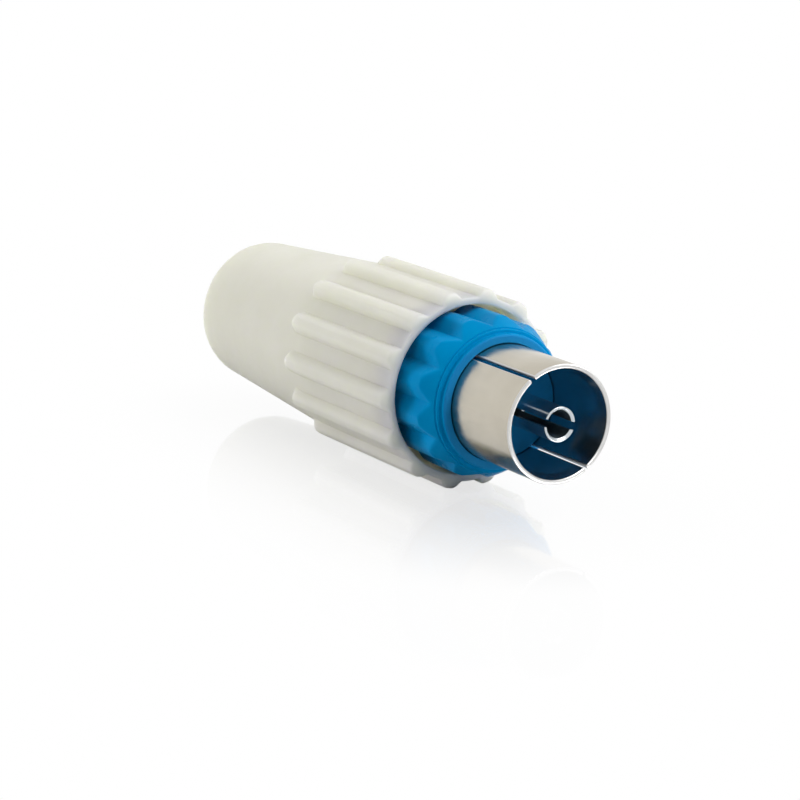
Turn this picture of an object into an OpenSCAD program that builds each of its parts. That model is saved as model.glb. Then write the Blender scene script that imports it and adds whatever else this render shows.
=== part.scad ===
// Straight coaxial aerial line socket with a screw-on sleeve.
// Every piece is drawn along +Z, with Z = 0 in the plane of the socket's mouth
// and Z growing towards the cable. lay() then turns the pieces on their side:
// the mouth faces +X, and the direction that a piece calls +X points up.

/* [Outer contact] */
// Inside diameter of the outer contact, which takes the plug's shell
contact_bore_d = 9.5; // [8.5:0.1:11]
// Sheet thickness of the outer contact
contact_wall = 0.4; // [0.3:0.05:0.6]
// Length of the outer contact that stands out of the collar
contact_reach = 8.8; // [6:0.1:11]
// Depth to which the outer contact's ring sits in the collar
contact_seat = 3.2; // [2.5:0.1:5]
// Width of each of the two spring slots
slot_w = 0.4; // [0.3:0.05:0.9]
// Depth of the spring slots below the collar's face
slot_run_in = 0.6; // [0.5:0.1:2]
// Direction of the first spring slot, in degrees from straight up
slot_angle = -33; // [-45:1:-20]
// Spread of each rear tongue round the axis, in degrees
tongue_spread = 60; // [40:1:80]

/* [Centre contact] */
// Diameter of the bore that takes the plug's pin
pin_bore_d = 2.4; // [2:0.05:2.8]
// Depth of the bore that takes the plug's pin
pin_bore_depth = 9; // [7:0.1:10]
// Wall of the centre contact's split tube
centre_wall = 0.32; // [0.25:0.01:0.45]
// Width of each of the two slits in the split tube
slit_w = 0.75; // [0.4:0.05:0.9]
// Length of the slits in the split tube
slit_len = 7.5; // [5:0.1:8]
// Direction of the first slit, in degrees from straight up
slit_angle = -78; // [-100:1:-60]
// Thickness of the flange that stops against the web
flange_t = 0.8; // [0.5:0.1:1.2]
// Width by which the flange stands out from the split tube
flange_lip = 0.8; // [0.6:0.05:1.2]
// Diameter of the screw terminal
terminal_d = 4.2; // [3.8:0.1:4.6]
// Length of the screw terminal behind the screw's axis
terminal_tail = 2.2; // [1.8:0.1:2.4]
// Diameter of the hole that takes the cable's inner conductor
conductor_d = 1.2; // [0.9:0.05:1.4]
// Depth of the hole that takes the cable's inner conductor
conductor_depth = 7.4; // [6.8:0.1:8]

/* [Terminal screw] */
// Diameter of the screw's shank
screw_d = 1.9; // [1.6:0.05:2.2]
// Diameter of the screw's head
screw_head_d = 3.2; // [2.8:0.1:3.4]
// Height of the screw's head
screw_head_h = 0.9; // [0.7:0.05:1]
// Travel of the screw from open to clamped
screw_travel = 0.8; // [0.5:0.05:0.9]
// Width of the slot in the screw's head
screw_slot_w = 0.4; // [0.3:0.05:0.6]
// Depth of the slot in the screw's head
screw_slot_depth = 0.45; // [0.3:0.05:0.6]

/* [Insulator] */
// Height of the core inside the outer contact above the collar's face
core_step = 0.7; // [0.3:0.05:1.2]
// Width of the ring that the collar shows round the outer contact
boss_ring = 0.8; // [0.6:0.05:1.2]
// Height of the collar above the shoulder
boss_step = 0.55; // [0.3:0.05:1.5]
// Width of the shoulder round the collar
shoulder_ring = 0.35; // [0.2:0.05:1]
// Height of the shoulder above the front edge of the cone
ledge_step = 0.3; // [0.15:0.05:0.6]
// Width of the ledge between the shoulder and the cone
ledge_ring = 0.12; // [0.06:0.02:0.3]
// Rise of the cone to the top of the grip ring
cone_rise = 0.78; // [0.4:0.02:0.9]
// Length of the cone in front of the grip ring
cone_len = 1.55; // [1:0.05:3]
// Length of the grip ring, from the shoulder to its back face
grip_len = 7.05; // [6.8:0.05:8]
// Number of flutes round the grip ring
flute_count = 13; // [10:1:16]
// Depth of each flute
flute_depth = 0.38; // [0.2:0.02:0.45]
// Radius of the cutter that makes each flute
flute_r = 2.1; // [1.6:0.1:2.6]
// Direction of the first ridge, in degrees from straight up
ridge_angle = -17; // [-30:1:0]
// Thickness of the web that carries the contacts
web_t = 3; // [2:0.1:4]
// Wall of the threaded barrel
barrel_wall = 0.8; // [0.7:0.05:1.1]
// Length of the threaded barrel behind the web
barrel_len = 8.8; // [8:0.1:10]
// Gap round the screw's head in the hole that a screwdriver reaches it through
window_gap = 0.3; // [0.2:0.05:0.4]

/* [Braid clamp] */
// Length of the clamp's ring that slides inside the outer contact's tongues
clamp_ring_len = 4; // [3:0.1:4.2]
// Thickness of the clamp's flange
clamp_flange_t = 1; // [0.7:0.1:1.4]
// Length of the clamp's fingers
finger_len = 7.4; // [6:0.1:9]
// Thickness of the clamp's fingers
finger_t = 0.6; // [0.4:0.05:0.8]
// Number of fingers
finger_count = 6; // [4:1:8]
// Width of the slits between the fingers
finger_slit_w = 0.8; // [0.5:0.1:1.2]
// Number of claws inside each finger
claw_count = 2; // [1:1:4]
// Height of the claws inside the fingers
claw_h = 0.15; // [0.1:0.01:0.25]
// Spacing of the claws along a finger
claw_pitch = 1; // [0.7:0.1:1.4]

/* [Sleeve] */
// Length of the grip ring that the sleeve leaves bare
grip_shown = 4.7; // [4:0.05:6]
// Length of the sleeve
sleeve_len = 39.4; // [35:0.1:45]
// Wall round the sleeve's front bore, between the ribs
sleeve_wall = 0.65; // [0.5:0.05:1.2]
// Height of the ribs above the sleeve
rib_h = 0.7; // [0.4:0.05:1]
// Width of each rib
rib_w = 1.8; // [1.2:0.1:2.2]
// Distance of the ribs from the sleeve's front face
rib_inset = 0.2; // [0.1:0.05:0.5]
// Length of the ribs
rib_len = 18; // [12:0.1:20]
// Number of ribs
rib_count = 14; // [10:2:16]
// Radius on the long edges of each rib
rib_edge = 0.4; // [0.2:0.05:0.5]
// Radius on both ends of each rib
rib_nose = 0.6; // [0.4:0.05:0.65]
// Length of the straight front part of the sleeve, before the tail tapers
straight_len = 16; // [14:0.1:18]
// Narrowing of the tail at its back end, on the radius
tail_drop = 1.55; // [1:0.05:1.8]
// Radius on the tail's back edge
tail_round = 1.3; // [0.5:0.1:1.8]
// Diameter of the hole that the cable comes in by
cable_d = 7.2; // [6.4:0.1:7.6]
// Thickness of the sleeve's back wall
back_wall = 5.5; // [3:0.1:8]
// Lead-in round the cable's hole
hole_lead = 0.6; // [0.2:0.1:1]
// Half angle of the cone that closes the clamp's fingers, in degrees
closing_angle = 5; // [3:0.5:7]
// Radius of the snap bead that keeps the clamp in the sleeve
bead_r = 0.6; // [0.4:0.05:0.7]

/* [Fits] */
// Gap round pieces that are pressed together
press_gap = 0.05; // [0.02:0.01:0.1]
// Gap round pieces that slide or turn in one another
running_gap = 0.1; // [0.05:0.01:0.15]
// Gap between the clamp and the sleeve that turns round it
turning_gap = 0.2; // [0.15:0.05:0.3]
// Gap between the grip ring and the sleeve's front bore
bore_gap = 0.4; // [0.3:0.05:0.6]
// Room for the thread between the barrel and the sleeve
thread_room = 0.4; // [0.3:0.05:0.6]
// Chamfer on small edges
chamfer = 0.15; // [0.05:0.01:0.2]

/* [Hidden] */
$fn = 96;
cut = 1; // how far cutters pass the face they cut, and joined shapes run into each other

// Radii, from the plug outwards
contact_in_r = contact_bore_d / 2;
contact_out_r = contact_in_r + contact_wall;
boss_r = contact_out_r + boss_ring;
shoulder_r = boss_r + shoulder_ring;
cone_r = shoulder_r + ledge_ring;
grip_r = cone_r + cone_rise;
barrel_in_r = contact_out_r + running_gap;
barrel_r = barrel_in_r + barrel_wall;
thread_bore_r = barrel_r + thread_room;
front_bore_r = grip_r + bore_gap;
sleeve_r = front_bore_r + sleeve_wall;
rib_r = sleeve_r + rib_h;
cable_r = cable_d / 2;

// Places along the axis, from the mouth backwards
collar_z = contact_reach;
core_z = collar_z - core_step;
seat_z = collar_z + contact_seat;
shoulder_z = collar_z + boss_step;
cone_z = shoulder_z + ledge_step;
grip_end_z = shoulder_z + grip_len;
web_end_z = seat_z + web_t;
barrel_end_z = web_end_z + barrel_len;
sleeve_z = shoulder_z + grip_shown;
sleeve_end_z = sleeve_z + sleeve_len;
thread_z = grip_end_z + turning_gap;

// Centre contact and its screw
centre_in_r = pin_bore_d / 2;
centre_out_r = centre_in_r + centre_wall;
flange_r = centre_out_r + flange_lip;
conductor_r = conductor_d / 2;
screw_r = screw_d / 2;
screw_head_r = screw_head_d / 2;
window_r = screw_head_r + window_gap;
screw_z = thread_z + window_r;
terminal_r = terminal_d / 2;
terminal_z = web_end_z + flange_t;
terminal_end_z = screw_z + terminal_tail;
screw_tip_x = conductor_r + press_gap;
screw_head_x = terminal_r + screw_travel + running_gap;

// Clamp, snapped into the sleeve behind its bead
clamp_ring_r = contact_in_r - running_gap;
clamp_in_r = cable_r + claw_h;
finger_r = clamp_in_r + finger_t;
bead_z = barrel_end_z + turning_gap + bead_r;
clamp_flange_z = bead_z + bead_r + turning_gap;
clamp_flange_r = thread_bore_r - bead_r + turning_gap;
clamp_front_z = clamp_flange_z - clamp_ring_len;
finger_z = clamp_flange_z + clamp_flange_t;
finger_end_z = finger_z + finger_len;
stop_z = finger_z + turning_gap;

// The cone in the sleeve passes the finger ends with the turning gap to spare
closing_end_r = finger_r + turning_gap;
closing_start_r = closing_end_r + tan(closing_angle) * (finger_end_z - stop_z);
hole_z = sleeve_end_z - back_wall;

// Turns a piece drawn along +Z so that its front faces +X
module lay() {
    rotate([0, -90, 0]) children();
}

// Flat cutter along the axis, which slits a tube on two opposite sides
module cross_cut(reach, width, from_z, to_z, direction) {
    rotate(direction) translate([-reach, -width / 2, from_z]) cube([2 * reach, width, to_z - from_z]);
}

// The two sectors between the tongues: cut out of the outer contact, and left standing in the web
module between_tongues(spread, to_z) {
    sector = 180 - spread;
    for (side = [0, 180])
        rotate(slot_angle + side - sector / 2)
            rotate_extrude(angle = sector)
                translate([contact_in_r - cut, seat_z]) square([contact_wall + 2 * cut, to_z - seat_z]);
}

// Rolled tube with two spring slots and two tongues that reach the braid clamp
module outer_contact() {
    rim = contact_wall / 4;
    tongue_end_z = barrel_end_z - press_gap;
    color("silver") lay() difference() {
        rotate_extrude() polygon([
            [contact_in_r + rim, 0],
            [contact_out_r - rim, 0],
            [contact_out_r, rim],
            [contact_out_r, tongue_end_z],
            [contact_in_r, tongue_end_z],
            [contact_in_r, rim],
        ]);
        between_tongues(tongue_spread, tongue_end_z + cut);
        cross_cut(contact_out_r + cut, slot_w, -cut, collar_z + slot_run_in, slot_angle);
    }
}

// Turned pin socket: a split tube in front, a flange, and a screw terminal behind
module centre_contact() {
    color("gainsboro") lay() difference() {
        rotate_extrude() polygon([
            [0, 0],
            [centre_out_r - chamfer, 0],
            [centre_out_r, chamfer],
            [centre_out_r, web_end_z],
            [flange_r, web_end_z],
            [flange_r, terminal_z],
            [terminal_r, terminal_z],
            [terminal_r, terminal_end_z - chamfer],
            [terminal_r - chamfer, terminal_end_z],
            [0, terminal_end_z],
        ]);
        translate([0, 0, -cut]) cylinder(r = centre_in_r, h = pin_bore_depth + cut);
        cross_cut(centre_out_r + cut, slit_w, -cut, slit_len, slit_angle);
        translate([0, 0, terminal_end_z - conductor_depth])
            cylinder(r = conductor_r, h = conductor_depth + cut);
        translate([screw_tip_x - screw_travel - running_gap, 0, screw_z])
            rotate([0, 90, 0]) cylinder(r = screw_r + press_gap, h = terminal_r + cut);
    }
}

// Slotted cheese-head screw, backed off so that the conductor's hole is open
module terminal_screw() {
    slot_floor_x = screw_head_x + screw_head_h - screw_slot_depth;
    color("lightgray") lay() translate([0, 0, screw_z]) rotate([0, 90, 0]) difference() {
        union() {
            translate([0, 0, screw_tip_x]) cylinder(r = screw_r, h = slot_floor_x - screw_tip_x);
            translate([0, 0, screw_head_x]) cylinder(r = screw_head_r, h = screw_head_h);
        }
        translate([-screw_head_d, -screw_slot_w / 2, slot_floor_x])
            cube([2 * screw_head_d, screw_slot_w, screw_slot_depth + cut]);
    }
}

// Flutes of the grip ring: round cutters set between the ridges
module flutes() {
    flute_pitch = 360 / flute_count;
    for (i = [0:flute_count - 1])
        rotate(ridge_angle + (i + 0.5) * flute_pitch)
            translate([grip_r - flute_depth + flute_r, 0, shoulder_z - cut])
                cylinder(r = flute_r, h = grip_len + 2 * cut);
}

// Outside of the insulator: core, collar, stepped shoulder, fluted grip ring and plain barrel
module insulator_outside() {
    in_groove_r = contact_in_r + contact_wall / 2;
    difference() {
        rotate_extrude() polygon([
            [0, core_z],
            [in_groove_r, core_z],
            [in_groove_r, collar_z],
            [boss_r - chamfer, collar_z],
            [boss_r, collar_z + chamfer],
            [boss_r, shoulder_z],
            [shoulder_r, shoulder_z],
            [shoulder_r, cone_z],
            [cone_r, cone_z],
            [grip_r, cone_z + cone_len],
            [grip_r, grip_end_z],
            [0, grip_end_z],
        ]);
        flutes();
    }
    rotate_extrude() polygon([
        [0, grip_end_z - cut],
        [barrel_r, grip_end_z - cut],
        [barrel_r, barrel_end_z - chamfer],
        [barrel_r - chamfer, barrel_end_z],
        [0, barrel_end_z],
    ]);
}

// Groove for the outer contact's ring, with a lead-in, and windows for its tongues
module outer_contact_seat() {
    groove_in_r = contact_in_r - press_gap;
    groove_out_r = contact_out_r + press_gap;
    window_spread = tongue_spread + 2 * asin(press_gap / contact_in_r);
    difference() {
        rotate_extrude() polygon([
            [groove_in_r, core_z - cut],
            [groove_out_r + chamfer, core_z - cut],
            [groove_out_r + chamfer, collar_z],
            [groove_out_r, collar_z + chamfer],
            [groove_out_r, web_end_z + cut],
            [groove_in_r, web_end_z + cut],
        ]);
        between_tongues(window_spread, web_end_z + 2 * cut);
    }
}

// Moulded insulator: it carries both contacts in its web, and the sleeve on its barrel
module insulator_body() {
    color("dodgerblue") lay() difference() {
        insulator_outside();
        outer_contact_seat();
        translate([0, 0, core_z - cut])
            cylinder(r = centre_out_r + press_gap, h = web_end_z - core_z + 2 * cut);
        translate([0, 0, web_end_z]) cylinder(r = barrel_in_r, h = barrel_len + cut);
        translate([0, 0, screw_z]) rotate([0, 90, 0]) cylinder(r = window_r, h = barrel_r + cut);
    }
}

// Collet that grips the cable's braid: a plain ring, a snap flange and clawed fingers
module braid_clamp() {
    claws_z = finger_end_z - chamfer - claw_count * claw_pitch;
    color("silver") lay() difference() {
        rotate_extrude() polygon([
            [clamp_in_r, clamp_front_z],
            [clamp_ring_r - chamfer, clamp_front_z],
            [clamp_ring_r, clamp_front_z + chamfer],
            [clamp_ring_r, clamp_flange_z],
            [clamp_flange_r, clamp_flange_z],
            [clamp_flange_r, finger_z],
            [finger_r, finger_z],
            [finger_r, finger_end_z - chamfer],
            [finger_r - chamfer, finger_end_z],
            [clamp_in_r, finger_end_z],
            for (i = [claw_count - 1:-1:0]) each [
                [clamp_in_r, claws_z + (i + 1) * claw_pitch],
                [clamp_in_r - claw_h, claws_z + (i + 0.5) * claw_pitch],
            ],
            [clamp_in_r, claws_z],
        ]);
        for (i = [0:finger_count - 1])
            rotate((i + 0.5) * 360 / finger_count)
                translate([0, -finger_slit_w / 2, finger_z + finger_t])
                    cube([finger_r + cut, finger_slit_w, finger_len + cut]);
    }
}

// Sleeve outline between the ribs: straight, then tapering to a rounded back edge
module sleeve_outline() {
    taper_z = sleeve_z + straight_len;
    slope = tail_drop / (sleeve_end_z - taper_z);
    lean = sqrt(1 + slope * slope);
    round_z = sleeve_end_z - tail_round;
    round_r = sleeve_r - slope * (round_z - taper_z) - tail_round * lean;
    polygon([
        [0, sleeve_z],
        [sleeve_r, sleeve_z],
        [sleeve_r, taper_z],
        [round_r + tail_round / lean, round_z + tail_round * slope / lean],
        [round_r, round_z],
        [round_r, sleeve_end_z],
        [0, sleeve_end_z],
    ]);
    translate([round_r, round_z]) rotate(atan(slope)) circle(tail_round);
}

// Room inside the sleeve: front bore, threaded bore with the snap bead, closing cone, cable hole
module sleeve_room() {
    difference() {
        polygon([
            [0, sleeve_z - cut],
            [front_bore_r, sleeve_z - cut],
            [front_bore_r, thread_z],
            [thread_bore_r, thread_z],
            [thread_bore_r, stop_z],
            [closing_start_r, stop_z],
            [closing_end_r, finger_end_z],
            [closing_end_r, hole_z],
            [cable_r, hole_z],
            [cable_r, sleeve_end_z - hole_lead],
            [cable_r + hole_lead, sleeve_end_z],
            [cable_r + hole_lead, sleeve_end_z + cut],
            [0, sleeve_end_z + cut],
        ]);
        translate([thread_bore_r, bead_z]) circle(bead_r);
    }
}

// One straight rib along +X: rounded long edges and ends, and a back end that is round from above too
module rib() {
    start_z = sleeve_z + rib_inset;
    end_z = start_z + rib_len;
    root_r = front_bore_r + sleeve_wall / 2;
    intersection() {
        translate([0, 0, start_z]) linear_extrude(rib_len) {
            translate([root_r, -rib_w / 2]) square([rib_r - rib_edge - root_r, rib_w]);
            translate([root_r, rib_edge - rib_w / 2]) square([rib_r - root_r, rib_w - 2 * rib_edge]);
            for (side = [-1, 1])
                translate([rib_r - rib_edge, side * (rib_w / 2 - rib_edge)]) circle(rib_edge);
        }
        rotate([0, 90, 0]) linear_extrude(rib_r + cut) {
            translate([rib_w / 2 - end_z, -rib_w / 2]) square([rib_len, rib_w]);
            translate([rib_w / 2 - end_z, 0]) circle(rib_w / 2);
        }
        rotate_extrude() {
            translate([0, start_z + rib_nose]) square([rib_r, rib_len - 2 * rib_nose]);
            translate([0, start_z]) square([rib_r - rib_nose, rib_len]);
            for (z = [start_z + rib_nose, end_z - rib_nose])
                translate([rib_r - rib_nose, z]) circle(rib_nose);
        }
    }
}

// Moulded sleeve that screws on over the barrel, standing on two ribs with a gap at the bottom
module housing_sleeve() {
    color("ivory") lay() difference() {
        union() {
            rotate_extrude() sleeve_outline();
            for (i = [0:rib_count - 1]) rotate(180 + (i + 0.5) * 360 / rib_count) rib();
        }
        rotate_extrude() sleeve_room();
    }
}

outer_contact();
centre_contact();
terminal_screw();
insulator_body();
braid_clamp();
housing_sleeve();
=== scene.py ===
import math

import bmesh
import bpy
import numpy as np
from mathutils import Matrix, Vector


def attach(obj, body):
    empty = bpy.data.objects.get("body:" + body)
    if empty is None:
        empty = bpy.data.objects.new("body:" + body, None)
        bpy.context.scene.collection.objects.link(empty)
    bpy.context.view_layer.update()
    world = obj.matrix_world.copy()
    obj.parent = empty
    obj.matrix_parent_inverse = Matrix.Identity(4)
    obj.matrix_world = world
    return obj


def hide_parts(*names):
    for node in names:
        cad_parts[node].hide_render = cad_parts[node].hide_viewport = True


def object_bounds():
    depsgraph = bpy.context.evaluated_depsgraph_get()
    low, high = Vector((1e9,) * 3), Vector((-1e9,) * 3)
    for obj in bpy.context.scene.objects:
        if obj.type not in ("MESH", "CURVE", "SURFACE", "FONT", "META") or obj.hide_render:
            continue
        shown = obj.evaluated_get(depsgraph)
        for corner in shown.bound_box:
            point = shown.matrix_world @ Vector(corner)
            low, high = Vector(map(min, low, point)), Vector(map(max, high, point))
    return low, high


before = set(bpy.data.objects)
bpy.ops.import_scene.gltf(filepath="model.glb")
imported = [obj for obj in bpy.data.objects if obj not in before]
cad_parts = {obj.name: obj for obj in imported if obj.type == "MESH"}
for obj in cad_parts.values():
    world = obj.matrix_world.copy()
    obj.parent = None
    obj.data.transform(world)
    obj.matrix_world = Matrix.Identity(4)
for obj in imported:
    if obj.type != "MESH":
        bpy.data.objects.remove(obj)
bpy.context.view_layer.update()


# Insulator: the blue moulding that keeps the two contacts apart. Its stepped collar and fluted
# grip ring show; the threaded barrel behind them is inside the sleeve. Injection moulded in one
# piece of acetal, with small radii on the edges that show.
MM = 0.001
# Sizes are in millimetres. A face, back, start or end is a distance behind the mouth, and r is a radius.
core_face = 8.10
core_r = 4.70
web_bore_r = 1.57
web_back = 15.0
groove_r = 5.20
groove_end = 12.0
collar_face = 8.80
collar_r = 5.95
collar_lead_in = 0.06
shoulder_face = 9.35
shoulder_r = 6.30
ledge_face = 9.65
ledge_r = 6.42
grip_start = 11.2
grip_end = 16.4
grip_r = 7.20
barrel_r = 6.05
barrel_bore_r = 5.25
barrel_end = 23.8


def soft_outline(corners, arc_steps=5, band_share=0.3):
    """Closed outline of points (millimetres behind the mouth, radius in millimetres). Each corner
    gives its own rounding, and into how many lengths the straight after it is divided."""
    places = np.array([corner[:2] for corner in corners], float)
    bends = []
    for i, (_, _, rounding, _) in enumerate(corners):
        here = places[i]
        back = places[i - 1] - here
        ahead = places[(i + 1) % len(corners)] - here
        back /= np.linalg.norm(back)
        ahead /= np.linalg.norm(ahead)
        if rounding == 0:
            bends.append([here])
            continue
        half = math.acos(np.clip(back @ ahead, -1, 1)) / 2
        run = rounding / math.tan(half)
        middle = here + (back + ahead) / np.linalg.norm(back + ahead) * rounding / math.sin(half)
        spoke = here + back * run - middle
        last = here + ahead * run - middle
        sweep = math.atan2(spoke[0] * last[1] - spoke[1] * last[0], spoke @ last)
        arc = []
        for k in range(arc_steps + 1):
            c = math.cos(sweep * k / arc_steps)
            s = math.sin(sweep * k / arc_steps)
            arc.append(middle + np.array((c * spoke[0] - s * spoke[1], s * spoke[0] + c * spoke[1])))
        # A narrow band at each end of the arc keeps the shading of the flats beside it even.
        band = band_share * run
        bends.append([arc[0] + back * band, *arc, arc[-1] + ahead * band])
    outline = []
    for i, bend in enumerate(bends):
        outline += bend
        lengths = corners[i][3]
        step = (bends[(i + 1) % len(bends)][0] - bend[-1]) / lengths
        outline += [bend[-1] + step * k for k in range(1, lengths)]
    return np.array(outline)


insulator_outline = soft_outline([
    (core_face, web_bore_r, 0.08, 4),
    (core_face, core_r, 0.08, 1),
    (groove_end, core_r, 0, 1),
    (groove_end, groove_r, 0, 1),
    (collar_face + collar_lead_in, groove_r, 0.02, 1),
    (collar_face, groove_r + collar_lead_in, 0.03, 1),
    (collar_face, collar_r, 0.20, 1),
    (shoulder_face, collar_r, 0.08, 1),
    (shoulder_face, shoulder_r, 0.10, 1),
    (ledge_face, shoulder_r, 0.04, 1),
    (ledge_face, ledge_r, 0.05, 14),
    (grip_start, grip_r, 0.40, 6),
    (grip_end, grip_r, 0.25, 1),
    (grip_end, barrel_r, 0.10, 60),
    (barrel_end, barrel_r, 0.15, 1),
    (barrel_end, barrel_bore_r, 0.10, 6),
    (web_back, barrel_bore_r, 0, 1),
    (web_back, web_bore_r, 0, 1),
], arc_steps=4)


def plain_mesh(name, points, faces, weld=1e-7):
    """New object at the origin with a closed mesh whose faces point outwards."""
    mesh = bpy.data.meshes.new(name)
    mesh.from_pydata([tuple(p) for p in points], [], [tuple(f) for f in faces])
    work = bmesh.new()
    work.from_mesh(mesh)
    bmesh.ops.remove_doubles(work, verts=work.verts, dist=weld)
    bmesh.ops.recalc_face_normals(work, faces=work.faces)
    work.to_mesh(mesh)
    work.free()
    piece = bpy.data.objects.new(name, mesh)
    bpy.context.scene.collection.objects.link(piece)
    return piece


def lathe(name, outline, columns, closed=True):
    """Turns an outline about the socket's axis. An outline that isn't closed starts and ends on it."""
    rows = len(outline)
    turn = np.arange(columns) * 2 * math.pi / columns
    along = np.repeat(-outline[:, :1] * MM, columns, axis=1)
    reach = outline[:, 1:] * MM
    points = np.stack([along, reach * np.sin(turn), reach * np.cos(turn)], axis=-1).reshape(-1, 3)
    faces = []
    for i in range(rows if closed else rows - 1):
        a = i * columns
        b = (i + 1) % rows * columns
        for j in range(columns):
            k = (j + 1) % columns
            faces.append((a + j, a + k, b + k, b + j))
    return plain_mesh(name, points, faces)


flute_count = 13
columns_per_flute = 36
insulator = lathe("insulator_moulding", insulator_outline, flute_count * columns_per_flute)


def new_finish(name):
    """New material, its shader, a function that adds a node, and one that joins two sockets."""
    finish = bpy.data.materials.new(name)
    finish.use_nodes = True
    tree = finish.node_tree
    shader = tree.nodes["Principled BSDF"]
    return finish, shader, tree.nodes.new, tree.links.new


mottle_low = 0.3
mottle_high = 0.7


def mottle(new, link, scale, stretch=(1, 1, 1), detail=3):
    """Soft random pattern on the piece's own coordinates, mostly from mottle_low to mottle_high."""
    place = new("ShaderNodeTexCoord")
    mapping = new("ShaderNodeMapping")
    mapping.inputs["Scale"].default_value = stretch
    noise = new("ShaderNodeTexNoise")
    noise.inputs["Scale"].default_value = scale
    noise.inputs["Detail"].default_value = detail
    link(place.outputs["Object"], mapping.inputs["Vector"])
    link(mapping.outputs["Vector"], noise.inputs["Vector"])
    return noise.outputs["Fac"]


def spread(new, link, value, low, high):
    """A mottle as a range of numbers."""
    ranged = new("ShaderNodeMapRange")
    ranged.inputs["From Min"].default_value = mottle_low
    ranged.inputs["From Max"].default_value = mottle_high
    ranged.inputs["To Min"].default_value = low
    ranged.inputs["To Max"].default_value = high
    link(value, ranged.inputs["Value"])
    return ranged.outputs["Result"]


def tint(new, link, value, first, second):
    """A mottle as a blend of two colours."""
    ramp = new("ShaderNodeValToRGB")
    ramp.color_ramp.elements[0].position = mottle_low
    ramp.color_ramp.elements[0].color = (*first, 1)
    ramp.color_ramp.elements[1].position = mottle_high
    ramp.color_ramp.elements[1].color = (*second, 1)
    link(value, ramp.inputs["Fac"])
    return ramp.outputs["Color"]


def relief(new, link, shader, height, depth):
    """Bumps of the given depth in metres on a shader."""
    bump = new("ShaderNodeBump")
    bump.inputs["Strength"].default_value = 1
    bump.inputs["Distance"].default_value = depth
    link(height, bump.inputs["Height"])
    link(bump.outputs["Normal"], shader.inputs["Normal"])


def towards_mouth(new, link, colour, front_colour, from_s, to_s):
    """Blends a colour into another one between two distances behind the mouth, in millimetres."""
    place = new("ShaderNodeTexCoord")
    parts = new("ShaderNodeSeparateXYZ")
    share = new("ShaderNodeMapRange")
    share.inputs["From Min"].default_value = -from_s * MM
    share.inputs["From Max"].default_value = -to_s * MM
    blend = new("ShaderNodeMixRGB")
    blend.inputs["Color2"].default_value = (*front_colour, 1)
    link(place.outputs["Object"], parts.inputs[0])
    link(parts.outputs["X"], share.inputs["Value"])
    link(share.outputs["Result"], blend.inputs["Fac"])
    link(colour, blend.inputs["Color1"])
    return blend.outputs["Color"]


# The collar's flat front face is a slightly greyer blue than the rest: a painted sheen for the light that
# face catches.
painted_sheen_blue = (0.016, 0.255, 0.595)
painted_sheen_start = collar_face + 0.15
painted_sheen_full = collar_face + 0.03

blue_plastic, shader, new, link = new_finish("blue_plastic")
cloudy = tint(new, link, mottle(new, link, scale=420), (0.0, 0.258, 0.572), (0.0, 0.290, 0.626))
blues_with_painted_sheen = towards_mouth(new, link, cloudy, painted_sheen_blue, painted_sheen_start, painted_sheen_full)
link(blues_with_painted_sheen, shader.inputs["Base Color"])
link(spread(new, link, mottle(new, link, scale=900), 0.26, 0.31), shader.inputs["Roughness"])
relief(new, link, shader, mottle(new, link, scale=2600, detail=2), depth=1.5e-6)
shader.inputs["IOR"].default_value = 1.48
shader.inputs["Specular IOR Level"].default_value = 0.03
shader.inputs["Specular Tint"].default_value = (0.2, 0.6, 1.0, 1)
shader.inputs["Subsurface Weight"].default_value = 0.12
shader.inputs["Subsurface Radius"].default_value = (0.2, 0.6, 1.0)
shader.inputs["Subsurface Scale"].default_value = 0.6 * MM


def rule_tree(name, sizes):
    """New node tree that takes a mesh and one named number for each size."""
    tree = bpy.data.node_groups.new(name, "GeometryNodeTree")
    tree.interface.new_socket("Geometry", in_out="INPUT", socket_type="NodeSocketGeometry")
    for size in sizes:
        tree.interface.new_socket(size, in_out="INPUT", socket_type="NodeSocketFloat")
    tree.interface.new_socket("Geometry", in_out="OUTPUT", socket_type="NodeSocketGeometry")
    given = tree.nodes.new("NodeGroupInput")

    def calc(operation, *terms):
        node = tree.nodes.new("ShaderNodeMath")
        node.operation = operation
        for socket, term in zip(node.inputs, terms):
            if isinstance(term, (int, float)):
                socket.default_value = term
            else:
                tree.links.new(term, socket)
        return node.outputs[0]

    return tree, given.outputs, calc


def points_about_axis(tree, calc):
    """Each point's place, its radius and angle about the axis, and its distance behind the mouth."""
    place = tree.nodes.new("ShaderNodeSeparateXYZ")
    tree.links.new(tree.nodes.new("GeometryNodeInputPosition").outputs[0], place.inputs[0])
    x, y, z = place.outputs
    radius = calc("SQRT", calc("ADD", calc("MULTIPLY", y, y), calc("MULTIPLY", z, z)))
    return (x, y, z), radius, calc("ARCTAN2", y, z), calc("MULTIPLY", x, -1.0)


def off_nearest(calc, angle, first, count):
    """Angle from the nearest of a number of even places round the axis."""
    half_pitch = calc("DIVIDE", math.pi, count)
    return calc("WRAP", calc("SUBTRACT", angle, first), half_pitch, calc("MULTIPLY", half_pitch, -1.0))


def held(calc, value):
    """A number kept between 0 and 1."""
    return calc("MAXIMUM", calc("MINIMUM", value, 1.0), 0.0)


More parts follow.
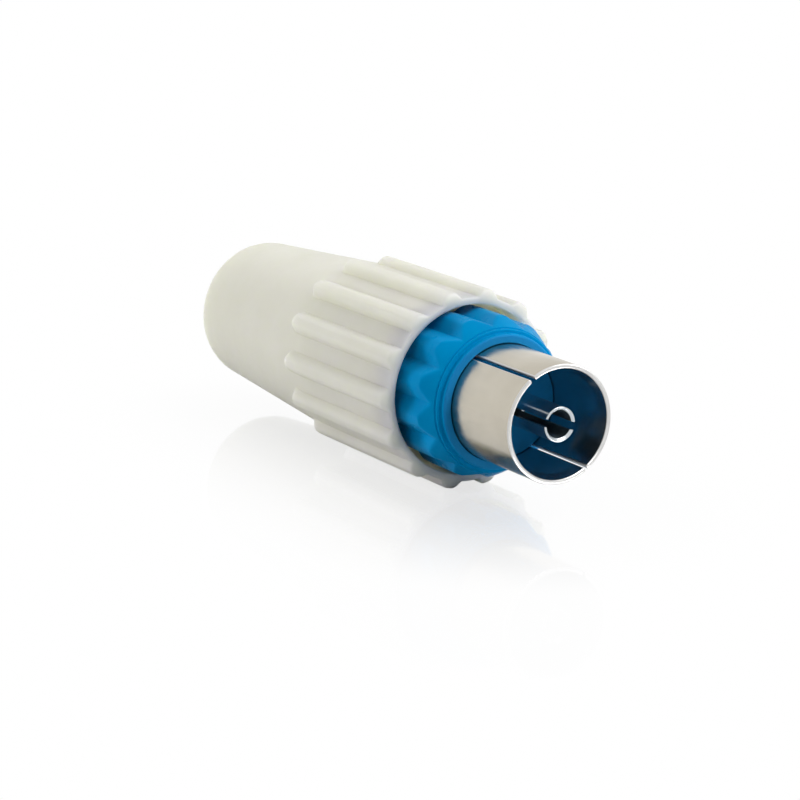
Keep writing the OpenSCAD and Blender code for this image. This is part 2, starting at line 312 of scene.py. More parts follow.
def thread_ridge(calc, given, angle, depth_in, turned):
    """Height of the thread's ridge, which fades in and out at its ends. It is turned by a share of a turn."""
    lead = given["Thread Lead"]
    helix = calc("SUBTRACT", depth_in, calc("MULTIPLY", lead, calc("DIVIDE", angle, 2 * math.pi)))
    turns = calc("ADD", calc("DIVIDE", helix, lead), turned)
    from_crest = calc("ABSOLUTE", calc("SUBTRACT", calc("FRACT", turns), 0.5))
    flank = calc("DIVIDE", calc("SUBTRACT", given["Thread Foot"], from_crest), given["Thread Flank"])
    run_in = calc("DIVIDE", calc("SUBTRACT", depth_in, given["Thread Start"]), given["Thread Fade"])
    run_out = calc("DIVIDE", calc("SUBTRACT", given["Thread End"], depth_in), given["Thread Fade"])
    full = calc("MULTIPLY", held(calc, flank), held(calc, calc("MINIMUM", run_in, run_out)))
    return calc("MULTIPLY", full, given["Thread Height"])


def set_radius(tree, given, calc, place, radius, new_radius):
    """Moves each point of the mesh straight out or in to its new radius."""
    x, y, z = place
    grow = calc("DIVIDE", new_radius, calc("MAXIMUM", radius, 1e-6))
    shaped = tree.nodes.new("ShaderNodeCombineXYZ")
    tree.links.new(x, shaped.inputs["X"])
    tree.links.new(calc("MULTIPLY", y, grow), shaped.inputs["Y"])
    tree.links.new(calc("MULTIPLY", z, grow), shaped.inputs["Z"])
    move = tree.nodes.new("GeometryNodeSetPosition")
    tree.links.new(given["Geometry"], move.inputs["Geometry"])
    tree.links.new(shaped.outputs[0], move.inputs["Position"])
    return move.outputs["Geometry"]


def close_tree(tree, shape, finish):
    """Ends a tree: what it makes becomes one mesh with one finish."""
    realize = tree.nodes.new("GeometryNodeRealizeInstances")
    paint = tree.nodes.new("GeometryNodeSetMaterial")
    paint.inputs["Material"].default_value = finish
    tree.links.new(shape, realize.inputs["Geometry"])
    tree.links.new(realize.outputs["Geometry"], paint.inputs["Geometry"])
    tree.links.new(paint.outputs["Geometry"], tree.nodes.new("NodeGroupOutput").inputs["Geometry"])


def settle(piece):
    """Turns what the modifiers make into the piece's own plain mesh."""
    bpy.context.view_layer.update()
    made = bpy.data.meshes.new_from_object(piece.evaluated_get(bpy.context.evaluated_depsgraph_get()))
    piece.modifiers.clear()
    piece.data = made
    made.name = piece.name


def apply_rule(piece, tree, sizes):
    """Runs a node tree on a piece, with sizes by the names of the tree's inputs."""
    step = piece.modifiers.new(tree.name, "NODES")
    step.node_group = tree
    for socket in tree.interface.items_tree:
        if socket.name in sizes:
            step[socket.identifier] = sizes[socket.name]
    settle(piece)


# The barrel and the sleeve have the same thread. Its foot, half the ridge's width, and its flank
# are shares of the lead.
thread_form = {
    "Thread Lead": 1.5 * MM,
    "Thread Height": 0.30 * MM,
    "Thread Fade": 0.6 * MM,
    "Thread Foot": 0.27,
    "Thread Flank": 0.15,
}
tree, given, calc = rule_tree("flutes_and_thread", [
    "Flute Count", "First Flute", "Flute Floor", "Flute Slope", "Flute Round", "Flute Edge", "Grip Floor",
    *thread_form, "Thread Start", "Thread End", "Thread Root",
])
place, radius, angle, depth_in = points_about_axis(tree, calc)
off_flute = off_nearest(calc, angle, given["First Flute"], given["Flute Count"])
aside = calc("ABSOLUTE", calc("MULTIPLY", radius, calc("SINE", off_flute)))
climb = calc("MULTIPLY", given["Flute Slope"], calc("SMOOTH_MAX", aside, 0.0, given["Flute Round"]))
flute_wall = calc("ADD", given["Flute Floor"], climb)
flute_cut = calc("SMOOTH_MAX", calc("SUBTRACT", radius, flute_wall), 0.0, given["Flute Edge"])
on_grip = calc("GREATER_THAN", radius, given["Grip Floor"])
fluted = calc("SUBTRACT", radius, calc("MULTIPLY", flute_cut, on_grip))
on_barrel = calc("GREATER_THAN", radius, given["Thread Root"])
ridge = calc("MULTIPLY", thread_ridge(calc, given, angle, depth_in, turned=0.0), on_barrel)
moved = set_radius(tree, given, calc, place, radius, calc("ADD", fluted, ridge))
close_tree(tree, moved, blue_plastic)

land_angle = -17
apply_rule(insulator, tree, {
    "Flute Count": float(flute_count),
    "First Flute": math.radians(land_angle + 180 / flute_count),
    "Flute Floor": 6.56 * MM,
    "Flute Slope": 0.50,
    "Flute Round": 0.20 * MM,
    "Flute Edge": 0.18 * MM,
    "Grip Floor": 6.38 * MM,
    **thread_form,
    "Thread Start": (grip_end + 0.4) * MM,
    "Thread End": (barrel_end - 0.3) * MM,
    "Thread Root": (barrel_r - 0.05) * MM,
})


def ring_sector(name, from_s, to_s, inner_r, outer_r, middle, spread_degrees, steps=16):
    """Part of a ring, from one distance behind the mouth to another, about a direction in degrees."""
    points = []
    faces = []
    for k in range(steps + 1):
        turn = math.radians(middle + spread_degrees * (k / steps - 0.5))
        for s, r in ((from_s, inner_r), (to_s, inner_r), (to_s, outer_r), (from_s, outer_r)):
            points.append((-s * MM, r * MM * math.sin(turn), r * MM * math.cos(turn)))
    for k in range(steps):
        for c in range(4):
            d = (c + 1) % 4
            faces.append((4 * k + c, 4 * k + d, 4 * k + 4 + d, 4 * k + 4 + c))
    faces += [(0, 1, 2, 3), tuple(4 * steps + c for c in range(4))]
    return plain_mesh(name, points, faces)


def round_bar(name, bar_r, from_z, to_z, s, columns=48):
    """Upright round bar on the line that is s millimetres behind the mouth."""
    points = []
    for height in (from_z, to_z):
        for k in range(columns):
            turn = 2 * math.pi * k / columns
            points.append(((bar_r * math.cos(turn) - s) * MM, bar_r * math.sin(turn) * MM, height * MM))
    faces = [tuple(range(columns)), tuple(range(columns, 2 * columns))]
    faces += [(k, (k + 1) % columns, columns + (k + 1) % columns, columns + k) for k in range(columns)]
    return plain_mesh(name, points, faces)


def carve(piece, *cutters):
    """Cuts other shapes out of a piece, and removes them."""
    for cutter in cutters:
        cut = piece.modifiers.new("cut", "BOOLEAN")
        cut.operation = "DIFFERENCE"
        cut.solver = "EXACT"
        cut.object = cutter
    settle(piece)
    for cutter in cutters:
        bpy.data.objects.remove(cutter)


# A screwdriver reaches the terminal screw through one hole, and the outer contact's tongues go
# back through two windows, a quarter turn from its slots.
screw_s = 18.5
driver_hole_r = 1.9
driver_hole_top = 8.0
slot_angle = -33
tongue_spread = 60
tongue_play = 1.2
window_start = 11.0
window_end = 16.0
tongue_windows = [
    ring_sector(f"tongue_window_{side}", window_start, window_end, core_r, groove_r,
                slot_angle + side, tongue_spread + tongue_play)
    for side in (90, 270)
]
carve(insulator, round_bar("driver_hole", driver_hole_r, 0.0, driver_hole_top, screw_s), *tongue_windows)


def smooth(piece, sharp_degrees=35):
    """Even shading, with a crease only where faces meet at more than the given angle."""
    piece.data.shade_smooth()
    piece.data.set_sharp_from_angle(angle=math.radians(sharp_degrees))


smooth(insulator)
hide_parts("insulator_body")
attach(insulator, "insert")


# Outer contact: slotted brass strip, rolled into a tube and nickel plated, a warmer grey outside
# than inside. Its cut edges get a lighter, cooler plate, a painted highlight. It springs on the plug's shell,
# its two tongues reach back through the insulator's web to the braid clamp, and it is pressed into the
# collar's groove.
def plated(name, patches, first, second, grain, low, high, depth, stretch=(1, 1, 1), bumps=None):
    """Plated metal with a colour in patches and a roughness by its grain. Its relief follows the
    grain too, unless its bumps have a scale of their own."""
    finish, shader, new, link = new_finish(name)
    link(tint(new, link, mottle(new, link, patches), first, second), shader.inputs["Base Color"])
    marks = mottle(new, link, grain, stretch)
    link(spread(new, link, marks, low, high), shader.inputs["Roughness"])
    relief(new, link, shader, marks if bumps is None else mottle(new, link, bumps), depth)
    shader.inputs["Metallic"].default_value = 1
    return finish


nickel = plated(
    "nickel_plate", patches=260, first=(0.530, 0.492, 0.412), second=(0.580, 0.540, 0.460),
    grain=1500, low=0.17, high=0.27, depth=2.5e-6, stretch=(0.25, 1, 1))
inner_plate = plated(
    "inner_plate", patches=500, first=(0.54, 0.58, 0.60), second=(0.60, 0.64, 0.66),
    grain=2400, low=0.17, high=0.24, depth=1.5e-6, stretch=(6, 1, 1))
# The cut edges' plate is lighter and cooler than the rest: a painted highlight.
highlight_edge_plate = plated(
    "highlight_edge_plate", patches=900, first=(0.56, 0.555, 0.545), second=(0.64, 0.635, 0.625),
    grain=2400, low=0.28, high=0.40, depth=2e-6, bumps=3600)

contact_r = 5.15
contact_wall = 0.40
contact_middle_r = contact_r - contact_wall / 2
slot_width = 0.40
seam_width = 0.24
slot_middle = 4.0
slot_end = 9.4
tongue_middle = 18.0
tongue_end = 23.75
rim_round = 0.19
column_degrees = 3

slot_half = math.degrees(math.asin(slot_width / 2 / contact_middle_r))
seam_half = math.degrees(math.asin(seam_width / 2 / contact_middle_r))
tongue_from = 90 - tongue_spread / 2
tongue_to = 90 + tongue_spread / 2
breaks = [
    slot_half, tongue_from, tongue_to, 180 - seam_half,
    180 + seam_half, 180 + tongue_from, 180 + tongue_to, 360 - slot_half, 360 + slot_half,
]
columns = [breaks[0]]
for first, second in zip(breaks, breaks[1:]):
    parts = max(2, round((second - first) / column_degrees))
    columns += [first + (second - first) * (k + 1) / parts for k in range(parts)]
rows = [0.0, slot_middle, slot_end, groove_end, tongue_middle, tongue_end]
points = []
for s in rows:
    for turn in np.radians(np.array(columns[:-1]) + slot_angle):
        points.append((-s * MM, contact_r * MM * math.sin(turn), contact_r * MM * math.cos(turn)))
faces = []
around = len(columns) - 1
for i in range(len(rows) - 1):
    for j in range(around):
        middle = (columns[j] + columns[j + 1]) / 2 % 360
        in_slot = min(middle, 360 - middle) < slot_half or abs(middle - 180) < seam_half
        in_slot = in_slot and rows[i] < slot_end
        off_tongue = not tongue_from < middle % 180 < tongue_to and rows[i] >= groove_end
        if not (in_slot or off_tongue):
            k = (j + 1) % around
            faces.append((i * around + j, i * around + k, (i + 1) * around + k, (i + 1) * around + j))
outer_contact = bpy.data.objects.new("outer_contact_tube", bpy.data.meshes.new("outer_contact_tube"))
outer_contact.data.from_pydata(points, [], faces)
bpy.context.scene.collection.objects.link(outer_contact)
sheet = bmesh.new()
sheet.from_mesh(outer_contact.data)
bmesh.ops.delete(sheet, geom=[v for v in sheet.verts if not v.link_faces], context="VERTS")
for face in sheet.faces:
    middle = face.calc_center_median()
    if face.normal.dot(Vector((0, middle.y, middle.z))) < 0:
        face.normal_flip()
sheet.to_mesh(outer_contact.data)
sheet.free()

for finish in (nickel, inner_plate, highlight_edge_plate):
    outer_contact.data.materials.append(finish)
inner_slot = 1
edge_slot = 2
wall = outer_contact.modifiers.new("wall", "SOLIDIFY")
wall.thickness = contact_wall * MM
wall.offset = -1
wall.use_even_offset = True
wall.material_offset = inner_slot
wall.material_offset_rim = edge_slot
rim = outer_contact.modifiers.new("rim", "BEVEL")
rim.width = rim_round * MM
rim.segments = 4
rim.limit_method = "ANGLE"
rim.angle_limit = math.radians(40)
rim.harden_normals = True
rim.material = edge_slot
settle(outer_contact)
smooth(outer_contact, sharp_degrees=50)
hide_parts("outer_contact")
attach(outer_contact, "insert")


# Centre contact: a brass pin turned on a lathe and nickel plated. Its bores carry painted shade, a dark
# blue-grey plate. Its front is slit so that it springs on the plug's pin, and its flange stops against the
# insulator's web. Behind the flange is the terminal for the cable's inner conductor.
pin_r = 1.52
pin_bore_r = 1.20
pin_bore_end = 9.00
pin_drill_tip = 0.40
pin_lead_in = 0.14
flange_r = 2.32
flange_back = 15.8
terminal_r = 2.10
terminal_end = 20.7
conductor_r = 0.60
conductor_end = 13.3
conductor_drill_tip = 0.30
centre_outline = soft_outline([
    (pin_bore_end + pin_drill_tip, 0.00, 0, 1),
    (pin_bore_end, pin_bore_r, 0.05, 1),
    (pin_lead_in, pin_bore_r, 0.03, 1),
    (0.00, pin_bore_r + pin_lead_in, 0.03, 1),
    (0.00, pin_r, 0.07, 1),
    (web_back, pin_r, 0.05, 1),
    (web_back, flange_r, 0.10, 1),
    (flange_back, flange_r, 0.10, 1),
    (flange_back, terminal_r, 0.05, 1),
    (terminal_end, terminal_r, 0.15, 1),
    (terminal_end, conductor_r, 0.10, 1),
    (conductor_end, conductor_r, 0.05, 1),
    (conductor_end - conductor_drill_tip, 0.00, 0, 1),
])
centre_contact = lathe("centre_contact_pin", centre_outline, columns=96, closed=False)

# The bores' dark blue-grey plate is painted shade for the deep holes.
painted_shade_bore = plated(
    "painted_shade_bore", patches=700, first=(0.17, 0.23, 0.26), second=(0.22, 0.28, 0.31),
    grain=2400, low=0.35, high=0.50, depth=2e-6, bumps=3600)
centre_contact.data.materials.append(inner_plate)
centre_contact.data.materials.append(painted_shade_bore)
bore_slot = 1
bore_limit = (pin_bore_r + 0.02) * MM
for face in centre_contact.data.polygons:
    if math.hypot(face.center.y, face.center.z) < bore_limit:
        face.material_index = bore_slot


def box_bar(name, size, place, turn=None):
    """Straight bar of a given size about a place, both in millimetres, then turned about the origin."""
    points = []
    for sx in (-0.5, 0.5):
        for sy in (-0.5, 0.5):
            for sz in (-0.5, 0.5):
                points.append(Vector((sx * size[0], sy * size[1], sz * size[2])) + Vector(place))
    if turn is not None:
        points = [turn @ p for p in points]
    faces = [(0, 1, 3, 2), (4, 6, 7, 5), (0, 4, 5, 1), (2, 3, 7, 6), (0, 2, 6, 4), (1, 5, 7, 3)]
    return plain_mesh(name, [p * MM for p in points], faces)


# The saw for the slit starts in front of the mouth and is wider than the pin.
slit_width = 0.68
slit_end = 7.5
slit_angle = 78
saw_start = -2.5
saw_reach = 5.0
slit_size = (slit_end - saw_start, slit_width, saw_reach)
slit_place = (-(slit_end + saw_start) / 2, 0, 0)
slit_turn = Matrix.Rotation(math.radians(slit_angle), 3, "X")
screw_hole_r = 1.0
screw_hole_floor = -0.25
screw_hole_top = 4.0
carve(
    centre_contact,
    box_bar("slit", slit_size, slit_place, slit_turn),
    round_bar("screw_hole", screw_hole_r, screw_hole_floor, screw_hole_top, screw_s, columns=32),
)
edge = centre_contact.modifiers.new("edge", "BEVEL")
edge.width = 0.04 * MM
edge.segments = 2
edge.limit_method = "ANGLE"
edge.angle_limit = math.radians(50)
settle(centre_contact)
smooth(centre_contact)
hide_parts("centre_contact")
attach(centre_contact, "insert")


# Terminal screw: a slotted cheese-head screw of zinc-plated steel, with a rolled thread. It runs
# in the terminal's cross hole, backed off so that a conductor can go in under it.
zinc = plated(
    "zinc_plate", patches=700, first=(0.56, 0.57, 0.59), second=(0.66, 0.67, 0.68),
    grain=4200, low=0.26, high=0.40, depth=3e-6)

# The screw's tip, head and top are heights above the socket's axis.
screw_tip = 0.65
screw_head = 3.0
screw_top = 3.9
shank_r = 0.80
head_r = 1.60
driver_slot_width = 0.4
driver_slot_depth = 0.45
screw_outline = soft_outline([
    (screw_tip, 0.00, 0, 1),
    (screw_tip, shank_r, 0.10, 1),
    (screw_head, shank_r, 0.05, 1),
    (screw_head, head_r, 0.08, 1),
    (screw_top, head_r, 0.15, 1),
    (screw_top, 0.00, 0, 1),
])
terminal_screw = lathe("terminal_screw_turned", screw_outline, columns=48, closed=False)
upright = Matrix(((0, 0, 1, -screw_s * MM), (0, 1, 0, 0), (-1, 0, 0, 0), (0, 0, 0, 1)))
terminal_screw.data.transform(upright)
past_head = 5.0
driver_slot_size = (past_head, driver_slot_width, 2 * driver_slot_depth)
carve(terminal_screw, box_bar("driver_slot", driver_slot_size, (-screw_s, 0, screw_top)))

tree, given, calc = rule_tree("screw_thread", [
    "Shank Radius", "Ridge Radius", "Pitch", "Length", "Start", "Behind Mouth",
])
spiral = tree.nodes.new("GeometryNodeCurveSpiral")
spiral.inputs["Resolution"].default_value = 24
tree.links.new(calc("DIVIDE", given["Length"], given["Pitch"]), spiral.inputs["Rotations"])
tree.links.new(given["Shank Radius"], spiral.inputs["Start Radius"])
tree.links.new(given["Shank Radius"], spiral.inputs["End Radius"])
tree.links.new(given["Length"], spiral.inputs["Height"])
section = tree.nodes.new("GeometryNodeCurvePrimitiveCircle")
section.inputs["Resolution"].default_value = 4
tree.links.new(given["Ridge Radius"], section.inputs["Radius"])
sweep = tree.nodes.new("GeometryNodeCurveToMesh")
sweep.inputs["Fill Caps"].default_value = True
tree.links.new(spiral.outputs["Curve"], sweep.inputs["Curve"])
tree.links.new(section.outputs["Curve"], sweep.inputs["Profile Curve"])
lift = tree.nodes.new("ShaderNodeCombineXYZ")
tree.links.new(calc("MULTIPLY", given["Behind Mouth"], -1.0), lift.inputs["X"])
tree.links.new(given["Start"], lift.inputs["Z"])
seat = tree.nodes.new("GeometryNodeTransform")
tree.links.new(sweep.outputs["Mesh"], seat.inputs["Geometry"])
tree.links.new(lift.outputs[0], seat.inputs["Translation"])
both = tree.nodes.new("GeometryNodeJoinGeometry")
tree.links.new(seat.outputs["Geometry"], both.inputs["Geometry"])
tree.links.new(given["Geometry"], both.inputs["Geometry"])
close_tree(tree, both.outputs["Geometry"], zinc)
apply_rule(terminal_screw, tree, {
    "Shank Radius": shank_r * MM,
    "Ridge Radius": 0.144 * MM,
    "Pitch": 0.40 * MM,
    "Length": 2.0 * MM,
    "Start": (screw_tip + 0.20) * MM,
    "Behind Mouth": screw_s * MM,
})
smooth(terminal_screw)
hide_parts("terminal_screw")
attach(terminal_screw, "terminal_screw")


# Braid clamp: a turned brass collet, nickel plated. Its plain ring slides inside the outer
# contact's tongues, its flange snaps in behind the sleeve's bead, and its clawed fingers close
# on the cable's braid as the sleeve is screwed home.
clamp_front = 21.40
clamp_ring_r = 4.65
clamp_bore_r = 3.75
clamp_flange_front = 25.40
clamp_flange_back = 26.40
clamp_flange_r = 6.05
finger_r = 4.35
finger_end = 33.80
claw_start = 31.65
claw_pitch = 1.0
claw_count = 2
claw_r = 3.60
claws = []
for k in range(claw_count):
    root = claw_start + k * claw_pitch
    claws += [(root, clamp_bore_r, 0, 1), (root + claw_pitch / 2, claw_r, 0, 1)]
clamp_outline = soft_outline([
    (clamp_front, clamp_bore_r, 0.08, 1),
    *claws,
    (claw_start + claw_count * claw_pitch, clamp_bore_r, 0, 1),
    (finger_end, clamp_bore_r, 0, 1),
    (finger_end, finger_r, 0.12, 1),
    (clamp_flange_back, finger_r, 0.08, 1),
    (clamp_flange_back, clamp_flange_r, 0.12, 1),
    (clamp_flange_front, clamp_flange_r, 0.12, 1),
    (clamp_flange_front, clamp_ring_r, 0.08, 1),
    (clamp_front, clamp_ring_r, 0.12, 1),
])
braid_clamp = lathe("braid_clamp_collet", clamp_outline, columns=96)

tree, given, calc = rule_tree("finger_slits", ["Slits", "Slit Width", "Slit Start", "Slit End", "Reach"])
slit_length = calc("SUBTRACT", given["Slit End"], given["Slit Start"])
slit_middle = calc("MULTIPLY", calc("ADD", given["Slit End"], given["Slit Start"]), -0.5)
size = tree.nodes.new("ShaderNodeCombineXYZ")
tree.links.new(slit_length, size.inputs["X"])
tree.links.new(given["Slit Width"], size.inputs["Y"])
tree.links.new(given["Reach"], size.inputs["Z"])
saw = tree.nodes.new("GeometryNodeMeshCube")
tree.links.new(size.outputs[0], saw.inputs["Size"])
place = tree.nodes.new("ShaderNodeCombineXYZ")
tree.links.new(slit_middle, place.inputs["X"])
tree.links.new(calc("MULTIPLY", given["Reach"], 0.5), place.inputs["Z"])
seat = tree.nodes.new("GeometryNodeTransform")
tree.links.new(saw.outputs["Mesh"], seat.inputs["Geometry"])
tree.links.new(place.outputs[0], seat.inputs["Translation"])
dots = tree.nodes.new("GeometryNodePoints")
tree.links.new(given["Slits"], dots.inputs["Count"])
index = tree.nodes.new("GeometryNodeInputIndex").outputs[0]
turn = tree.nodes.new("ShaderNodeCombineXYZ")
whole_turns = calc("MULTIPLY", calc("ADD", index, 0.5), 2 * math.pi)
tree.links.new(calc("DIVIDE", whole_turns, given["Slits"]), turn.inputs["X"])
ring = tree.nodes.new("GeometryNodeInstanceOnPoints")
tree.links.new(dots.outputs[0], ring.inputs["Points"])
tree.links.new(seat.outputs["Geometry"], ring.inputs["Instance"])
tree.links.new(turn.outputs[0], ring.inputs["Rotation"])
saws = tree.nodes.new("GeometryNodeRealizeInstances")
tree.links.new(ring.outputs["Instances"], saws.inputs["Geometry"])
cut = tree.nodes.new("GeometryNodeMeshBoolean")
cut.operation = "DIFFERENCE"
tree.links.new(given["Geometry"], cut.inputs["Mesh 1"])
tree.links.new(saws.outputs["Geometry"], cut.inputs["Mesh 2"])
close_tree(tree, cut.outputs["Mesh"], nickel)
apply_rule(braid_clamp, tree, {
    "Slits": 6.0,
    "Slit Width": 0.8 * MM,
    "Slit Start": (clamp_flange_back + 0.6) * MM,
    "Slit End": (finger_end + 1.2) * MM,
    "Reach": 6.0 * MM,
})
smooth(braid_clamp)
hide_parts("braid_clamp")
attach(braid_clamp, "braid_clamp")


# Sleeve: the off-white, translucent cover, injection moulded in polypropylene. Ribs round its
# front give the fingers a grip, and its smooth tail narrows to the cable's hole. It screws on
# over the insulator's barrel.
white_plastic, shader, new, link = new_finish("white_plastic")
creamy = tint(new, link, mottle(new, link, scale=160), (0.726, 0.715, 0.620), (0.762, 0.752, 0.664))
link(creamy, shader.inputs["Base Color"])
link(spread(new, link, mottle(new, link, scale=1400), 0.40, 0.52), shader.inputs["Roughness"])
relief(new, link, shader, mottle(new, link, scale=3800, detail=2), depth=5e-6)
shader.inputs["IOR"].default_value = 1.46
shader.inputs["Subsurface Weight"].default_value = 1.0
shader.inputs["Subsurface Radius"].default_value = (0.93, 1.0, 0.76)
shader.inputs["Subsurface Scale"].default_value = 4 * MM

sleeve_front = 14.05
sleeve_r = 8.25
taper_start = 30.05
sleeve_end = 53.45
tail_r = 6.70
cable_hole_r = 3.60
cable_lead_in = 0.60
cable_hole_start = 47.95
finger_room_r = 4.55
finger_room_start = 33.80
clamp_seat = 26.60
clamp_throat_r = 5.18
thread_bore_r = 6.45
bead_middle = 24.60
bead_half = 0.60
bead_r = 5.85
bead_shoulder_half = 0.40
bead_shoulder_r = 6.05
front_bore_r = 7.60
front_bore_end = 16.60
# The skin is divided finely where the ribs start and where they run out.
nose_rows_end = 15.10
run_out_start = 29.20
run_out_end = 33.20
run_out_r = 8.04
sleeve_outline = soft_outline([
    (sleeve_front, sleeve_r, 0.20, 12),
    (nose_rows_end, sleeve_r, 0, 8),
    (run_out_start, sleeve_r, 0, 3),
    (taper_start, sleeve_r, 3.0, 12),
    (run_out_end, run_out_r, 0, 18),
    (sleeve_end, tail_r, 1.30, 1),
    (sleeve_end, cable_hole_r + cable_lead_in, 0.15, 1),
    (sleeve_end - cable_lead_in, cable_hole_r, 0.15, 1),
    (cable_hole_start, cable_hole_r, 0.10, 1),
    (cable_hole_start, finger_room_r, 0.10, 2),
    (finger_room_start, finger_room_r, 0.30, 2),
    (clamp_seat, clamp_throat_r, 0.15, 1),
    (clamp_seat, thread_bore_r, 0, 1),
    (bead_middle + bead_half, thread_bore_r, 0, 1),
    (bead_middle + bead_shoulder_half, bead_shoulder_r, 0.15, 1),
    (bead_middle, bead_r, 0.30, 1),
    (bead_middle - bead_shoulder_half, bead_shoulder_r, 0.15, 1),
    (bead_middle - bead_half, thread_bore_r, 0, 46),
    (front_bore_end, thread_bore_r, 0.10, 1),
    (front_bore_end, front_bore_r, 0.10, 2),
    (sleeve_front, front_bore_r, 0.15, 1),
], arc_steps=4)
rib_count = 14
columns_per_rib = 32
sleeve = lathe("sleeve_moulding", sleeve_outline, rib_count * columns_per_rib)

tree, given, calc = rule_tree("ribs_and_thread", [
    "Rib Count", "First Rib", "Rib Top", "Rib Half Width", "Rib Start", "Rib Nose", "Rib End", "Rib Wall",
    "Rib Root", "Skin Floor", *thread_form, "Thread Start", "Thread End", "Thread Bore", "Thread Play",
])
place, radius, angle, depth_in = points_about_axis(tree, calc)
off_rib = off_nearest(calc, angle, given["First Rib"], given["Rib Count"])
aside = calc("MULTIPLY", off_rib, given["Rib Top"])
end_middle = calc("SUBTRACT", given["Rib End"], given["Rib Half Width"])
past_end = calc("MAXIMUM", calc("SUBTRACT", depth_in, end_middle), 0.0)
from_rib = calc("SQRT", calc("ADD", calc("MULTIPLY", aside, aside), calc("MULTIPLY", past_end, past_end)))
climb = tree.nodes.new("ShaderNodeMapRange")
tree.links.new(calc("SUBTRACT", from_rib, given["Rib Half Width"]), climb.inputs["Value"])
tree.links.new(given["Rib Root"], climb.inputs["From Min"])
tree.links.new(calc("MULTIPLY", given["Rib Wall"], -1.0), climb.inputs["From Max"])
to_top = calc("SUBTRACT", 1.0, climb.outputs["Result"])
wall = calc("SUBTRACT", 1.0, calc("MULTIPLY", to_top, to_top))
on_skin = calc("GREATER_THAN", radius, given["Skin Floor"])
from_start = calc("DIVIDE", calc("SUBTRACT", depth_in, given["Rib Start"]), given["Rib Nose"])
short = calc("SUBTRACT", 1.0, held(calc, from_start))
nose = calc("SQRT", calc("SUBTRACT", 1.0, calc("MULTIPLY", short, short)))
share = calc("MULTIPLY", calc("MULTIPLY", wall, nose), on_skin)
raised = calc("MULTIPLY", share, calc("SUBTRACT", given["Rib Top"], radius))
in_bore = calc("COMPARE", radius, given["Thread Bore"], given["Thread Play"])
ridge = calc("MULTIPLY", thread_ridge(calc, given, angle, depth_in, turned=0.5), in_bore)
moved = set_radius(tree, given, calc, place, radius, calc("SUBTRACT", calc("ADD", radius, raised), ridge))
close_tree(tree, moved, white_plastic)
apply_rule(sleeve, tree, {
    "Rib Count": float(rib_count),
    "First Rib": math.radians(180 + 180 / rib_count),
    "Rib Top": 8.945 * MM,
    "Rib Half Width": 0.95 * MM,
    "Rib Start": sleeve_front * MM,
    "Rib Nose": 0.45 * MM,
    "Rib End": 32.35 * MM,
    "Rib Wall": 0.70 * MM,
    "Rib Root": 0.15 * MM,
    "Skin Floor": 7.9 * MM,
    **thread_form,
    "Thread Start": (front_bore_end + 0.3) * MM,
    "Thread End": (bead_middle - 0.9) * MM,
    "Thread Bore": thread_bore_r * MM,
    "Thread Play": 0.1 * MM,
})
smooth(sleeve, sharp_degrees=50)
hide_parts("housing_sleeve")
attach(sleeve, "housing_sleeve")


# Table and light: a glossy white sheet with the socket lying on two of its ribs, a soft box above
# and to the right, a low one on the left, and a white surround. Distances here are in metres.
def eased(new, link, value, source, result):
    """One range of numbers turned into another, with a soft start and end."""
    ranged = new("ShaderNodeMapRange")
    ranged.interpolation_type = "SMOOTHSTEP"
    ranged.inputs["From Min"].default_value = source[0]
    ranged.inputs["From Max"].default_value = source[1]
    ranged.inputs["To Min"].default_value = result[0]
    ranged.inputs["To Max"].default_value = result[1]
    link(value, ranged.inputs["Value"])
    return ranged.outputs["Result"]


def combine(new, link, operation, first, second):
    """Two shares as one, kept between 0 and 1."""
    node = new("ShaderNodeMath")
    node.operation = operation
    node.use_clamp = True
    link(first, node.inputs[0])
    link(second, node.inputs[1])
    return node.outputs[0]


table_size = 6
table_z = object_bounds()[0].z
bpy.ops.mesh.primitive_plane_add(size=table_size, location=(0, 0, table_z))
table = bpy.context.object
table.name = "white_table"
table_white, shader, new, link = new_finish("table_white")
shader.inputs["Base Color"].default_value = (0.95, 0.95, 0.95, 1)
shader.inputs["Roughness"].default_value = 0.06
shader.inputs["Metallic"].default_value = 0.8

# The table is plain white away from the line under the socket. Near that line it shows the
# socket's shadow and reflection.
line_back = -0.045
line_front = -0.005
spot = new("ShaderNodeTexCoord").outputs["Object"]
spot_parts = new("ShaderNodeSeparateXYZ")
link(spot, spot_parts.inputs[0])
along = new("ShaderNodeClamp")
along.inputs["Min"].default_value = line_back
along.inputs["Max"].default_value = line_front
link(spot_parts.outputs["X"], along.inputs["Value"])
under = new("ShaderNodeCombineXYZ")
link(along.outputs["Result"], under.inputs["X"])
apart = new("ShaderNodeVectorMath")
apart.operation = "DISTANCE"
link(spot, apart.inputs[0])
link(under.outputs[0], apart.inputs[1])
far_white = eased(new, link, apart.outputs["Value"], (0.02, 0.11), (0.0, 1.0))
near_white = eased(new, link, apart.outputs["Value"], (0.002, 0.024), (0.74, 0.99))
any_white = combine(new, link, "MAXIMUM", far_white, near_white)
rays = new("ShaderNodeLightPath").outputs
seen = combine(new, link, "MULTIPLY", any_white, rays["Is Camera Ray"])
bounced = combine(new, link, "MAXIMUM", rays["Is Glossy Ray"], rays["Is Transmission Ray"])
in_metal = combine(new, link, "MULTIPLY", far_white, bounced)
white = new("ShaderNodeEmission")
white.inputs["Strength"].default_value = 1
mixed = new("ShaderNodeMixShader")
link(combine(new, link, "MAXIMUM", seen, in_metal), mixed.inputs["Fac"])
link(shader.outputs["BSDF"], mixed.inputs[1])
link(white.outputs["Emission"], mixed.inputs[2])
link(mixed.outputs["Shader"], table_white.node_tree.nodes["Material Output"].inputs["Surface"])
table.data.materials.append(table_white)

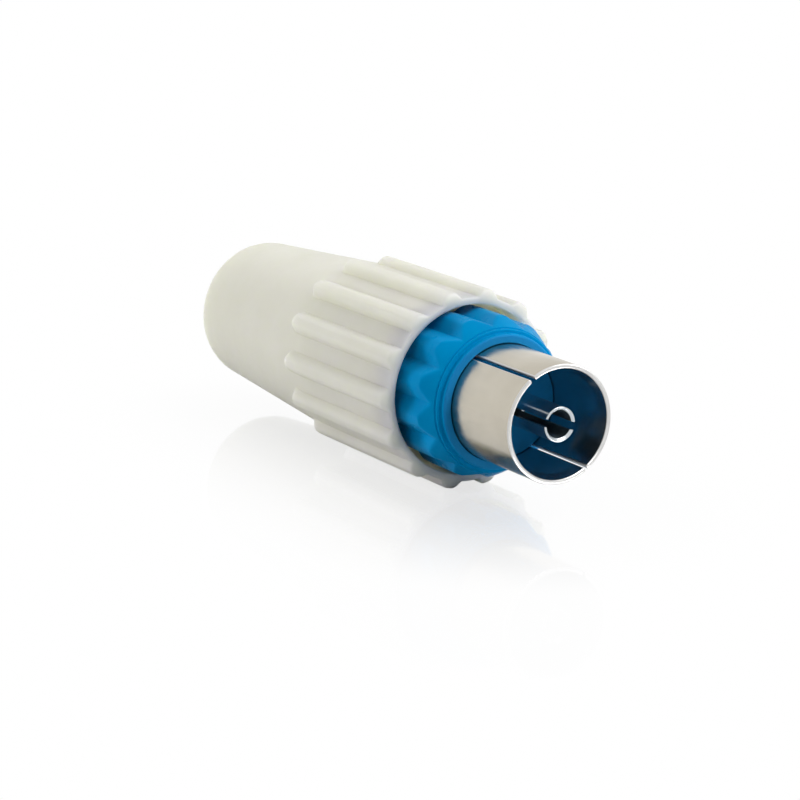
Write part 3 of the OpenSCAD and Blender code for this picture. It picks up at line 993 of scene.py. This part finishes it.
# The camera sees the surround as white, straight or by way of a shiny piece. Light on its way to
# the object finds it at a plain level, also by way of the table, and dimmer in front of the mouth.
plain_level = 0.48
front_level = 0.3
surround = bpy.data.worlds.new("white_surround")
bpy.context.scene.world = surround
surround.use_nodes = True
new = surround.node_tree.nodes.new
link = surround.node_tree.links.new
back = surround.node_tree.nodes["Background"]
back.inputs["Color"].default_value = (1, 1, 1, 1)
rays = new("ShaderNodeLightPath").outputs
bounced = combine(new, link, "MAXIMUM", rays["Is Glossy Ray"], rays["Is Transmission Ray"])
looked_at = combine(new, link, "MAXIMUM", rays["Is Camera Ray"], bounced)
shown = combine(new, link, "SUBTRACT", looked_at, rays["Diffuse Depth"])
way = new("ShaderNodeSeparateXYZ")
link(new("ShaderNodeTexCoord").outputs["Generated"], way.inputs[0])
in_front = eased(new, link, way.outputs["X"], (0.1, 0.7), (1.0, front_level))
level = eased(new, link, shown, (0.0, 1.0), (plain_level, 1.0))
dimmed = combine(new, link, "MAXIMUM", in_front, shown)
link(combine(new, link, "MULTIPLY", level, dimmed), back.inputs["Strength"])

# Shiny pieces show the soft box above, and not the one on the left.
aim = Vector((-0.024, 0, 0))
for name, size, power, place, mirrored in (
    ("soft_box_above", 0.40, 3.65, (0.34, 0.28, 0.48), True),
    ("soft_box_left", 0.20, 2.0, (-0.46, -0.44, 0.10), False),
):
    lamp = bpy.data.lights.new(name, "AREA")
    lamp.shape = "SQUARE"
    lamp.size = size
    lamp.energy = power
    holder = bpy.data.objects.new(name, lamp)
    holder.location = place
    holder.visible_camera = False
    holder.visible_glossy = mirrored
    holder.rotation_euler = (aim - Vector(place)).to_track_quat("-Z", "Y").to_euler()
    bpy.context.scene.collection.objects.link(holder)

# The camera was fitted to the shell's rim, the shell's foot and the sleeve's bore.
camera = bpy.data.cameras.new("camera")
camera.sensor_width = 36
camera.lens = 126
camera.clip_start = 0.01
camera_holder = bpy.data.objects.new("camera", camera)
camera_place = (0.18732, -0.12579, 0.05811)
right = Vector((0.50761, 0.86159, 0.0))
up = Vector((-0.20789, 0.12248, 0.97046))
facing = Matrix((right, up, right.cross(up))).transposed().to_4x4()
camera_holder.matrix_world = Matrix.Translation(camera_place) @ facing
bpy.context.scene.collection.objects.link(camera_holder)
bpy.context.scene.camera = camera_holder
bpy.context.scene.view_settings.view_transform = "Standard"
